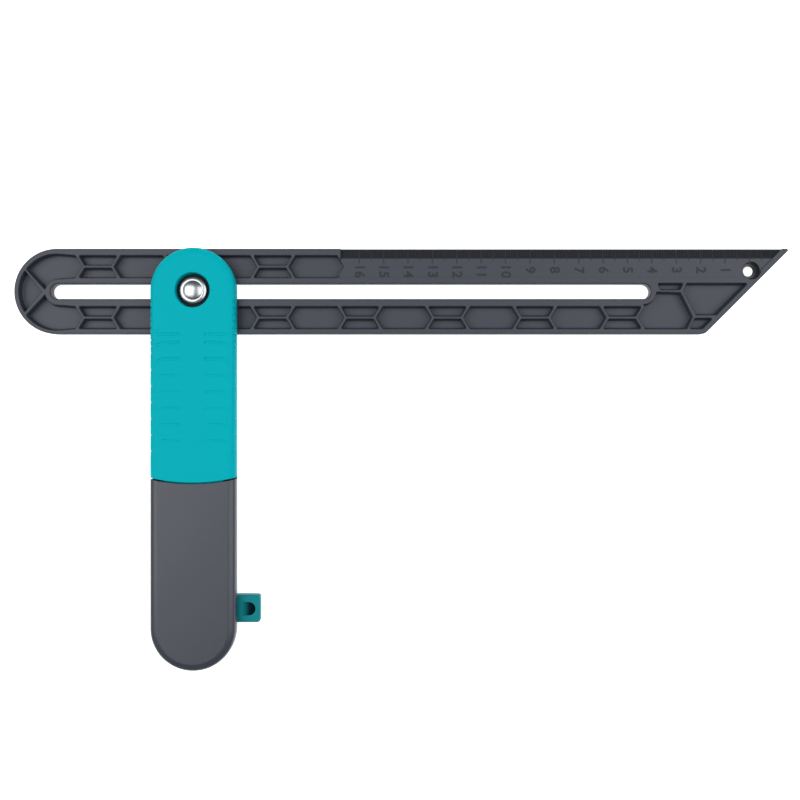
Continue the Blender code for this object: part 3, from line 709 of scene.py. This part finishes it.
def side_notches():
    """Short notches down both sides, close together at the top and then one at the end of each groove."""
    tools = []
    for side in (-1, 1):
        for y in NOTCH_ROWS:
            x = (STOCK_HALF + 0.6) * side
            points = [(x, y, FRONT_INNER - 2.0), (x, y, STOCK_FACE - RIM_DEPTH + 0.4),
                      (x - 1.8 * side, y, STOCK_FACE + 0.9)]
            tools.append(groove(points, NOTCH_RADIUS))
    return tools


def well(radius, floor):
    """The round well at the pivot, with a rolled mouth."""
    roll = 0.5
    mouth = []
    for angle in (math.radians(degrees) for degrees in (0, 30, 60, 90)):
        mouth.append((radius + roll - roll * math.sin(angle), STOCK_FACE - roll * (1 - math.cos(angle))))
    return turned("well", [(0.0, STOCK_FACE + 1), (radius + 0.9, STOCK_FACE + 1)] + mouth +
                  [(radius, floor + 0.3), (radius - 0.3, floor), (0.0, floor)])


def rectangle(low_x, high_x, low_y, high_y):
    """The four corners of a rectangle, counter-clockwise."""
    return [(low_x, low_y), (high_x, low_y), (high_x, high_y), (low_x, high_y)]


def slab_with_holes(name, outline, low, high, radius):
    """A slab with a round hole at each of the two upper case screws."""
    working = bmesh.new()
    bottom, top = walls(working, outline, [(0, low), (0, high)])
    lows, highs = [bottom], [top]
    for place in SCREW_PLACES[:2]:
        upper, lower = walls(working, arc(place, radius, 0, 360, 32)[:-1], [(0, high), (0, low)])
        lows.append(lower)
        highs.append(upper)
    cap(working, lows, False)
    cap(working, highs, True)
    return solid_from(name, working)


def tongue():
    """The tongue under the grey cover, with a hole for each boss."""
    corners = rectangle(-TONGUE_HALF, TONGUE_HALF, TONGUE_END, TONGUE_ROOT)
    return slab_with_holes("tongue", eased(corners, 1.0), FRONT_INNER, FRONT_INNER + TONGUE_THICKNESS,
                           BOSS_HOLE_RADIUS)


def teal_cheek(name):
    """A front cheek; the rear one is turned over."""
    cheek = stock_half(name)
    carve(cheek, [beyond(CHEEK_END, True)])
    ease_seam(cheek, CHEEK_END)
    carve(cheek, finger_grooves() + side_notches())
    carve(cheek, [tongue()], "UNION")
    return cheek


def turn_over(solid):
    """Mirrors a front piece through the middle of the stock to make the rear one, its sides leaning in."""
    jaw = STOCK_FACE - FRONT_INNER
    for vert in solid.data.vertices:
        spine = Vector((0.0, min(max(vert.co.y, STOCK_END[1] * MM), 0.0)))
        kept = 1.0 - SIDE_LEAN * (vert.co.z - jaw * MM) / (STOCK_HALF * MM)
        vert.co.xy = spine + (vert.co.xy - spine) * kept
    flip = Matrix.Translation((0, 0, STOCK_FACE * MM)) @ Matrix.Scale(-1, 4, (0, 0, 1))
    solid.data.transform(flip)
    solid.data.flip_normals()


def room(low_x, high_x, low_y, high_y, low, high):
    """A plain square-cornered cutter."""
    return block("room", rectangle(low_x, high_x, low_y, high_y), [(0, low), (0, high)])


TEAL = plastic("teal", (0.0, 0.435, 0.500), (0.0, 0.480, 0.550), 0.50, 0.04, drift=0.06, rubbing=0.2)

front_cheek = teal_cheek("front_cheek_moulding")
bore = turned("bore", [(0.0, 20.0), (BORE_RADIUS, 20.0), (BORE_RADIUS, 10.0), (0.0, 10.0)], 40)
seat_top = FRONT_INNER + 1
seat = turned("seat", [(0.0, seat_top), (SEAT_RADIUS, seat_top), (SEAT_RADIUS, 10.0), (0.0, 10.0)])
carve(front_cheek, [well(WELL_RADIUS, WELL_FLOOR), bore, seat])

rear_cheek = teal_cheek("rear_cheek_moulding")
turn_over(rear_cheek)
rear_well = turned("well", [(0.0, 3.0), (WELL_RADIUS, 3.0), (WELL_RADIUS, 0.4), (WELL_RADIUS + 0.4, 0.0),
                            (WELL_RADIUS + 0.4, -1.0), (0.0, -1.0)])
disc_seat = turned("seat", [(0.0, 7.0), (SEAT_RADIUS, 7.0), (SEAT_RADIUS, 4.9), (0.0, 4.9)])
fork_room = room(-7.2, 7.2, -11.0, 6.5, BAR_ROOM_FLOOR, 5.0)
bar_room = room(-BAR_ROOM_HALF, BAR_ROOM_HALF, -110.0, -9.5, BAR_ROOM_FLOOR, 8.0)
carve(rear_cheek, [rear_well, disc_seat, fork_room, bar_room])

for cheek, node in ((front_cheek, "front_cheek"), (rear_cheek, "rear_cheek")):
    shade(cheek)
    cheek.data.materials.append(TEAL)
    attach(cheek, "handle")
    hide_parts(node)

# ---- Grey covers and core ----------------------------------------------------------------------------
# The lower half of the stock is three grey mouldings: a cover front and back, and a core between them that
# closes the jaw and guides the lock slide. Four screws from the back pull them together.

TONGUE_PLAY = 0.3
HOLLOW_HALF, HOLLOW_LOW_Y, HOLLOW_HIGH_Y = 13.2, -119.5, -99.0
BAR_RAIL_HALF = 5.5
SCREW_HOLE_RADIUS = 1.8


def grey_cover(name):
    """A front cover, hollow behind; the rear one is turned over."""
    cover = stock_half(name)
    carve(cover, [beyond(COVER_START, False)])
    ease_seam(cover, COVER_START)
    return cover


def tongue_room(height):
    """The room for a tongue, with two bosses left standing in it."""
    half = TONGUE_HALF + TONGUE_PLAY
    corners = rectangle(-half, half, TONGUE_END - TONGUE_PLAY, TONGUE_ROOT)
    return slab_with_holes("tongue_room", corners, 10.0, height, BOSS_RADIUS)


def hole(place, radius, low, high, steps=32):
    """A plain round cutter."""
    return block("hole", arc(place, radius, 0, 360, steps)[:-1], [(0, low), (0, high)])


COVER_GREY = plastic("cover_grey", (0.041, 0.046, 0.063), (0.054, 0.059, 0.076), 0.36, 0.50)

front_cover = grey_cover("front_cover_moulding")
hollow = room(-HOLLOW_HALF, HOLLOW_HALF, HOLLOW_LOW_Y, HOLLOW_HIGH_Y, 10.0, 16.4)
screw_holes = [hole(place, SCREW_HOLE_RADIUS, 10.0, 17.0) for place in SCREW_PLACES]
carve(front_cover, [tongue_room(15.5), hollow] + screw_holes)

rear_cover = grey_cover("rear_cover_moulding")
carve(rear_cover, [tongue_room(15.4)])
turn_over(rear_cover)
tools = [room(-BAR_ROOM_HALF, BAR_ROOM_HALF, -135.2, -70.0, BAR_ROOM_FLOOR, 8.0)]
for low_x, high_x in ((-HOLLOW_HALF, -BAR_RAIL_HALF), (BAR_RAIL_HALF, HOLLOW_HALF)):
    tools.append(room(low_x, high_x, HOLLOW_LOW_Y, HOLLOW_HIGH_Y, 2.0, 8.0))
for place in SCREW_PLACES:
    mouth = [(2.9, 2.0), (2.9, 0.3), (3.2, 0.0), (3.2, -1.0)]
    seat = turned("seat", [(0.0, 2.0)] + mouth + [(0.0, -1.0)], 40)
    seat.location = (place[0] * MM, place[1] * MM, 0.0)
    tools += [seat, hole(place, SCREW_HOLE_RADIUS, 1.0, 8.0)]
carve(rear_cover, tools)

for cover, node in ((front_cover, "front_cover"), (rear_cover, "rear_cover")):
    shade(cover)
    cover.data.materials.append(COVER_GREY)
    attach(cover, "handle")
    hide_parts(node)


def dress(node, material):
    """Gives a piece its finish and leaves its shape alone."""
    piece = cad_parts[node]
    piece.data.materials.clear()
    piece.data.materials.append(material)


CORE_GREY = plastic("core_grey", (0.050, 0.054, 0.068), (0.075, 0.080, 0.095), 0.5, 0.4)
dress("core", CORE_GREY)

# ---- Pivot screw and nut -----------------------------------------------------------------------------
# The screw has a polished chromed head: a low dome with a step turned round it. Its shank goes through the
# whole stack into a closed nut, which is set flush in the back and tightened with a pin spanner.


def turned_metal():
    """Node group for bare metal: fine turning or rolling lines and faint stains."""
    group = bpy.data.node_groups.new("turned_metal", "ShaderNodeTree")
    sockets = (("Colour", "INPUT", "NodeSocketColor"), ("Roughness", "INPUT", "NodeSocketFloat"),
               ("Line Scale", "INPUT", "NodeSocketVector"),
               ("Colour", "OUTPUT", "NodeSocketColor"), ("Roughness", "OUTPUT", "NodeSocketFloat"),
               ("Height", "OUTPUT", "NodeSocketFloat"))
    for name, way, kind in sockets:
        group.interface.new_socket(name=name, in_out=way, socket_type=kind)
    node, link = group.nodes.new, group.links.new
    given, out = node("NodeGroupInput"), node("NodeGroupOutput")
    place = node("ShaderNodeTexCoord")
    scaled = node("ShaderNodeVectorMath")
    scaled.operation = "MULTIPLY"
    link(place.outputs["Object"], scaled.inputs[0])
    link(given.outputs["Line Scale"], scaled.inputs[1])
    lines = node("ShaderNodeTexNoise")
    lines.inputs["Scale"].default_value = 1.0
    lines.inputs["Detail"].default_value = 3.0
    link(scaled.outputs[0], lines.inputs["Vector"])
    link(lines.outputs["Fac"], out.inputs["Height"])
    stains = node("ShaderNodeTexNoise")
    stains.inputs["Scale"].default_value = 260.0
    link(place.outputs["Object"], stains.inputs["Vector"])
    rough = node("ShaderNodeMath")
    rough.operation = "MULTIPLY_ADD"
    link(stains.outputs["Fac"], rough.inputs[0])
    rough.inputs[1].default_value = 0.08
    link(given.outputs["Roughness"], rough.inputs[2])
    link(rough.outputs[0], out.inputs["Roughness"])
    dim = node("ShaderNodeMapRange")
    dim.inputs["To Min"].default_value = 0.88
    dim.inputs["To Max"].default_value = 1.05
    link(stains.outputs["Fac"], dim.inputs["Value"])
    tint = node("ShaderNodeVectorMath")
    tint.operation = "SCALE"
    link(given.outputs["Colour"], tint.inputs[0])
    link(dim.outputs["Result"], tint.inputs["Scale"])
    link(tint.outputs[0], out.inputs["Colour"])
    return group


TURNED_METAL = turned_metal()


def metal(name, colour, roughness, line_scale=(400.0, 9000.0, 9000.0), bump=0.15):
    """A metal with its own colour and line direction."""
    made = bpy.data.materials.new(name)
    made.use_nodes = True
    nodes, link = made.node_tree.nodes, made.node_tree.links.new
    shader = nodes["Principled BSDF"]
    shader.inputs["Metallic"].default_value = 1.0
    surface = nodes.new("ShaderNodeGroup")
    surface.node_tree = TURNED_METAL
    surface.inputs["Colour"].default_value = (*colour, 1.0)
    surface.inputs["Roughness"].default_value = roughness
    surface.inputs["Line Scale"].default_value = line_scale
    raised = nodes.new("ShaderNodeBump")
    raised.inputs["Strength"].default_value = bump
    raised.inputs["Distance"].default_value = 0.00002
    link(surface.outputs["Colour"], shader.inputs["Base Color"])
    link(surface.outputs["Roughness"], shader.inputs["Roughness"])
    link(surface.outputs["Height"], raised.inputs["Height"])
    link(raised.outputs["Normal"], shader.inputs["Normal"])
    return made


CHROME = metal("chrome", (0.46, 0.47, 0.48), 0.24, (700.0, 700.0, 700.0), 0.25)
screw_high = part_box("pivot_screw")[1] / MM
HEAD_RADIUS = screw_high.x
HEAD_TOP = screw_high.z
HEAD_UNDER = 15.8
DOME_RADIUS = 3.8
DOME_HEIGHT = 0.8
DOME_HALF_ANGLE = 50
SHANK_RADIUS = 1.7

dome = []
full = math.radians(DOME_HALF_ANGLE)
for degrees in range(0, DOME_HALF_ANGLE + 1, 5):
    angle = math.radians(degrees)
    dome.append((DOME_RADIUS * math.sin(angle) / math.sin(full),
                 HEAD_TOP - DOME_HEIGHT * (1 - math.cos(angle)) / (1 - math.cos(full))))
step_z = HEAD_TOP - DOME_HEIGHT
flange = [(DOME_RADIUS + 0.03, step_z - 0.12), (DOME_RADIUS + 0.12, step_z - 0.2), (4.3, step_z - 0.14),
          (HEAD_RADIUS - 0.5, step_z - 0.34), (HEAD_RADIUS - 0.14, step_z - 0.55),
          (HEAD_RADIUS, step_z - 0.8), (HEAD_RADIUS, HEAD_UNDER + 0.1), (HEAD_RADIUS - 0.1, HEAD_UNDER)]
shank = [(SHANK_RADIUS, HEAD_UNDER), (SHANK_RADIUS, 1.4), (SHANK_RADIUS - 0.2, 1.2), (0.0, 1.2)]
pivot_screw = turned("pivot_screw_head", dome + flange + shank, 96)
shade(pivot_screw, 30)
pivot_screw.data.materials.append(CHROME)
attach(pivot_screw, "handle")
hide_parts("pivot_screw")

nut_profile = [(0.0, 0.9), (2.0, 0.9), (2.0, 4.7), (2.2, 4.9), (3.0, 4.9), (3.2, 4.7), (3.2, 1.6), (6.6, 1.6),
               (6.7, 1.5), (6.7, 0.35), (6.62, 0.12), (6.35, 0.0), (0.0, 0.0)]
pivot_nut = turned("pivot_nut_cap", nut_profile, 72)
spanner_holes = [hole((side * 4.6, 0.0), 0.8, -1.0, 1.1, 24) for side in (-1, 1)]
carve(pivot_nut, spanner_holes)
shade(pivot_nut, 30)
pivot_nut.data.materials.append(metal("nut_plate", (0.72, 0.73, 0.74), 0.2, (500.0, 5200.0, 500.0), 0.3))
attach(pivot_nut, "handle")
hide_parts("pivot_nut")

# ---- Lock slide --------------------------------------------------------------------------------------
# A teal slide crosses the lower stock between the covers, coloured darker than the cheeks as painted shade.
# Its tab stands out of the right side, with a scoop for the thumb nail whose faces carry painted shade that
# deepens towards the tab's end; pushed in, its slanted slot draws the lock bar up to the pivot.

slide_low, slide_high = (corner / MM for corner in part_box("lock_slide"))
SCOOP_CENTRE = (22.0, (slide_low.y + slide_high.y) / 2)
SCOOP_RADIUS = 2.7
SCOOP_DEPTH = 4.2
SLIDE_CORNER, SLIDE_EASE = 1.3, 0.8
CAM_HALF = 1.8
CAM_START, CAM_END = (0.0, -131.1), (9.0, -128.85)
NOTCH_HALF, NOTCH_DEPTH = 0.8, 0.7
# The slide's teal is the cheeks' teal darkened as painted shade.
SLIDE_SHADED_TEAL = (0.0, 0.225, 0.250)
SCOOP_SHADE = (0.0, 0.022, 0.036)


def nail_scoop():
    """A round-ended scoop whose floor ramps down towards the end of the tab."""
    start_x = SCOOP_CENTRE[0] - SCOOP_RADIUS
    outline = [(start_x, SCOOP_CENTRE[1] - SCOOP_RADIUS)] + arc(SCOOP_CENTRE, SCOOP_RADIUS, -90, 90, 32)
    outline += [(start_x, SCOOP_CENTRE[1] + SCOOP_RADIUS)]
    length = SCOOP_CENTRE[0] + SCOOP_RADIUS - start_x
    floor = [slide_high.z - SCOOP_DEPTH * (0.06 + 0.94 * (x - start_x) / length) for x, y in outline]
    working = bmesh.new()
    bottom = ring(working, outline, floor)
    top = ring(working, outline, slide_high.z + 2)
    skin(working, bottom, top)
    working.faces.new(bottom[::-1])
    working.faces.new(top)
    return solid_from("nail_scoop", working)


slide_outline = eased(rectangle(slide_low.x, slide_high.x, slide_low.y, slide_high.y), SLIDE_CORNER, 8)
slide_profile = rounding(0, slide_low.z, -SLIDE_EASE, 0, 90, 5)
slide_profile += rounding(0, slide_high.z, SLIDE_EASE, 90, 0, 5)
lock_slide = block("lock_slide_moulding", slide_outline, slide_profile)
right_through = [(0, 4.0), (0, 14.0)]
cam = block("cam", stadium(CAM_START, CAM_END, CAM_HALF), right_through)
notches = []
for notch_x in (CAM_START[0], CAM_END[0]):
    outline = [(notch_x - NOTCH_HALF, slide_low.y - 1.0), (notch_x + NOTCH_HALF, slide_low.y - 1.0),
               (notch_x, slide_low.y + NOTCH_DEPTH)]
    notches.append(block("notch", outline, right_through))
carve(lock_slide, [cam, nail_scoop()] + notches)
shade(lock_slide)
# The slide's colour is a darker copy of the cheeks' teal: painted shade.
lock_slide.data.materials.append(plastic("slide_painted_shade_teal", SLIDE_SHADED_TEAL, (0.0, 0.26, 0.29), 0.45, 0.15))
# The scoop's faces get painted shade, fading from the slide's teal to near black towards the deep end.
scoop_painted_shade = plastic("scoop_painted_shade", (0.0, 0.030, 0.045), (0.0, 0.05, 0.06), 0.6, 0.10)
nodes, link = scoop_painted_shade.node_tree.nodes, scoop_painted_shade.node_tree.links.new
place = nodes.new("ShaderNodeTexCoord")
split = nodes.new("ShaderNodeSeparateXYZ")
deeper = nodes.new("ShaderNodeMapRange")
deeper.inputs["From Min"].default_value = (SCOOP_CENTRE[0] - 2.4) * MM
deeper.inputs["From Max"].default_value = (SCOOP_CENTRE[0] - 0.2) * MM
fade = nodes.new("ShaderNodeMix")
fade.data_type = "RGBA"
fade.inputs["A"].default_value = (*SLIDE_SHADED_TEAL, 1.0)
fade.inputs["B"].default_value = (*SCOOP_SHADE, 1.0)
link(place.outputs["Object"], split.inputs[0])
link(split.outputs["X"], deeper.inputs["Value"])
link(deeper.outputs["Result"], fade.inputs["Factor"])
scoop_skin = next(node for node in nodes if node.type == "GROUP")
link(fade.outputs["Result"], scoop_skin.inputs["Colour"])
lock_slide.data.materials.append(scoop_painted_shade)
for face in lock_slide.data.polygons:
    middle = face.center / MM
    inside = math.hypot(middle.x - SCOOP_CENTRE[0], middle.y - SCOOP_CENTRE[1]) < SCOOP_RADIUS + 0.05
    if inside and middle.z > slide_low.z + 0.5 and face.normal.z < 0.9999:
        face.material_index = 1
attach(lock_slide, "lock_slide")
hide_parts("lock_slide")

# ---- Case screws -------------------------------------------------------------------------------------
# Four cross-headed steel screws go in from the back, through the rear cover and the core, and bite in the
# front cover. Their heads sit just below the surface.

SCREW_STEEL = metal("screw_steel", (0.55, 0.55, 0.56), 0.28, (3000.0, 3000.0, 3000.0))
CASE_SCREW = [(0.0, 16.7), (1.0, 16.7), (1.5, 16.0), (1.5, 1.6), (2.6, 1.6), (2.6, 0.85), (2.5, 0.62),
              (2.1, 0.45), (1.6, 0.4), (0.0, 0.4)]


def cross_recess(place):
    """The cross that the screwdriver turns."""
    long, short = 1.45, 0.32
    outline = []
    for quarter in range(4):
        turn = Matrix.Rotation(math.radians(90 * quarter), 2)
        for corner in ((long, -short), (long, short), (short, short)):
            point = turn @ Vector(corner)
            outline.append((point.x + place[0], point.y + place[1]))
    return block("cross", outline, [(0.0, -0.5), (0.0, 0.2), (-0.25, 1.25)])


for number, place in enumerate(SCREW_PLACES, 1):
    screw = turned(f"case_screw_head_{number}", CASE_SCREW, 40)
    screw.data.transform(Matrix.Translation((place[0] * MM, place[1] * MM, 0.0)))
    carve(screw, [cross_recess(place)])
    shade(screw, 30)
    screw.data.materials.append(SCREW_STEEL)
    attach(screw, "handle")
    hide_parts(f"case_screw_{number}")

# ---- Inner pieces ------------------------------------------------------------------------------------
# Inside are the pressed steel lock bar with its pin, the washers and discs of the clamp, the bent leaf of
# the detent and the nylon guide in the blade's slot.

BAR_STEEL = metal("bar_steel", (0.50, 0.51, 0.52), 0.32, (9000.0, 400.0, 9000.0))
WASHER_STEEL = metal("washer_steel", (0.56, 0.56, 0.57), 0.25, (2500.0, 2500.0, 2500.0))
for node in ("lock_bar", "follower_pin", "detent_spring"):
    dress(node, BAR_STEEL)
for node in ("clamp_disc", "thrust_washer"):
    dress(node, WASHER_STEEL)
# The spring washer is coloured near black as painted shade for the dark ring in the well round the screw
# head.
dress("spring_washer", metal("black_steel", (0.020, 0.022, 0.025), 0.55, (2500.0, 2500.0, 2500.0)))
dress("front_friction_disc", plastic("friction_fibre", (0.15, 0.085, 0.045), (0.20, 0.12, 0.07), 0.8, 0.2,
                                     drift=0.5, grain=6000.0, bump=0.4))
dress("slot_guide", plastic("guide_nylon", (0.62, 0.61, 0.56), (0.70, 0.69, 0.64), 0.5, 0.4))

# ---- Studio ------------------------------------------------------------------------------------------
# A pale floor, two wide soft boxes overhead with a gap between them for the camera, and a little fill from
# all round. The camera looks straight down.

CAMERA_X, CAMERA_Y, CAMERA_Z = 0.0839, -0.0445, 0.4620
LENS = 49.46
BOX_HEIGHT = 0.80
BOX_SIZE = (0.75, 0.8)
PAPER_GLOW = 0.85

floor_mesh = bpy.data.meshes.new("floor")
floor_mesh.from_pydata([(-2, -2, 0), (2, -2, 0), (2, 2, 0), (-2, 2, 0)], [], [(0, 1, 2, 3)])
floor = bpy.data.objects.new("floor", floor_mesh)
floor.location.z = -0.0002
bpy.context.scene.collection.objects.link(floor)
paper = bpy.data.materials.new("paper")
paper.use_nodes = True
paper_shader = paper.node_tree.nodes["Principled BSDF"]
paper_shader.inputs["Base Color"].default_value = (0.86, 0.86, 0.86, 1.0)
paper_shader.inputs["Roughness"].default_value = 0.9
paper_shader.inputs["Specular IOR Level"].default_value = 0.0
paper_shader.inputs["Emission Color"].default_value = (1.0, 1.0, 1.0, 1.0)
paper_shader.inputs["Emission Strength"].default_value = PAPER_GLOW
floor.data.materials.append(paper)


def soft_box(name, place, aim, power):
    """A rectangular soft light aimed at a point."""
    lamp = bpy.data.lights.new(name, "AREA")
    lamp.shape = "RECTANGLE"
    lamp.size, lamp.size_y = BOX_SIZE
    lamp.energy = power
    holder = bpy.data.objects.new(name, lamp)
    holder.location = place
    holder.rotation_euler = (Vector(aim) - Vector(place)).to_track_quat("-Z", "Y").to_euler()
    bpy.context.scene.collection.objects.link(holder)


soft_box("left_box", (CAMERA_X - 0.50, CAMERA_Y + 0.06, BOX_HEIGHT), (0.02, -0.04, 0.0), 5.6)
soft_box("right_box", (CAMERA_X + 0.50, CAMERA_Y + 0.06, BOX_HEIGHT), (0.12, -0.04, 0.0), 4.8)

world = bpy.data.worlds.new("studio")
world.use_nodes = True
world.node_tree.nodes["Background"].inputs["Color"].default_value = (0.9, 0.93, 1.0, 1.0)
world.node_tree.nodes["Background"].inputs["Strength"].default_value = 0.15
bpy.context.scene.world = world

camera_data = bpy.data.cameras.new("camera")
camera_data.sensor_width = 36.0
camera_data.lens = LENS
camera_data.clip_start = 0.01
camera = bpy.data.objects.new("camera", camera_data)
camera.location = (CAMERA_X, CAMERA_Y, CAMERA_Z)
bpy.context.scene.collection.objects.link(camera)
bpy.context.scene.camera = camera
bpy.context.scene.view_settings.view_transform = "Standard"
